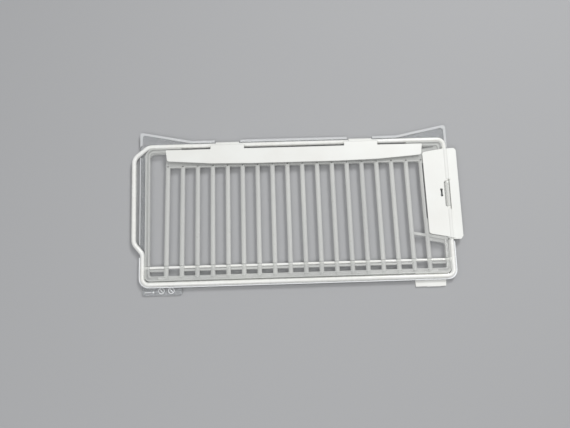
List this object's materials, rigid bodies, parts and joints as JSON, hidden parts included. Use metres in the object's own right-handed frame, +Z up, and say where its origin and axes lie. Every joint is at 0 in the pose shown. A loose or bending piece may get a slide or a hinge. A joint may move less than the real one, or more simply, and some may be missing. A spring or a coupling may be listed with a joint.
{
  "type": "refrigerator shelf",
  "caption": "Slatted shelf for a compact refrigerator: coated wire frame, clear surround, milky slats, folding guard bar and a side latch flap.",
  "frame": {"origin": "middle of the footprint, on the surface that the shelf lies on", "axes": "+X to the right along the slatted width, +Y to the front where the guard bar is, +Z up"},
  "size_m": [0.3946, 0.2001, 0.0115],
  "materials": {
    "coated_wire": "glossy white polymer coating on steel wire",
    "clear_plastic": "clear, polished",
    "milky_plastic": "translucent, satin",
    "white_plastic": "satin moulded"
  },
  "bodies": {
    "shelf": {"frame_wire": "coated_wire", "cross_wire": "coated_wire", "surround": "clear_plastic", "slat_deck": "milky_plastic", "rear_clip": "white_plastic"},
    "guard": {"guard_bar": "white_plastic"},
    "latch": {"latch_flap": "white_plastic"}
  },
  "joints": [
    {"name": "guard_fold", "type": "hinge", "parent": "shelf", "child": "guard", "pos_m": [0, 0.0808, 0.0048], "axis": [-1, 0, 0], "range_deg": [0, 90]},
    {"name": "latch_turn", "type": "hinge", "parent": "shelf", "child": "latch", "pos_m": [0.1824, 0, 0.0048], "axis": [0.0182, 0.9998, 0], "range_deg": [0, 80]}
  ]
}
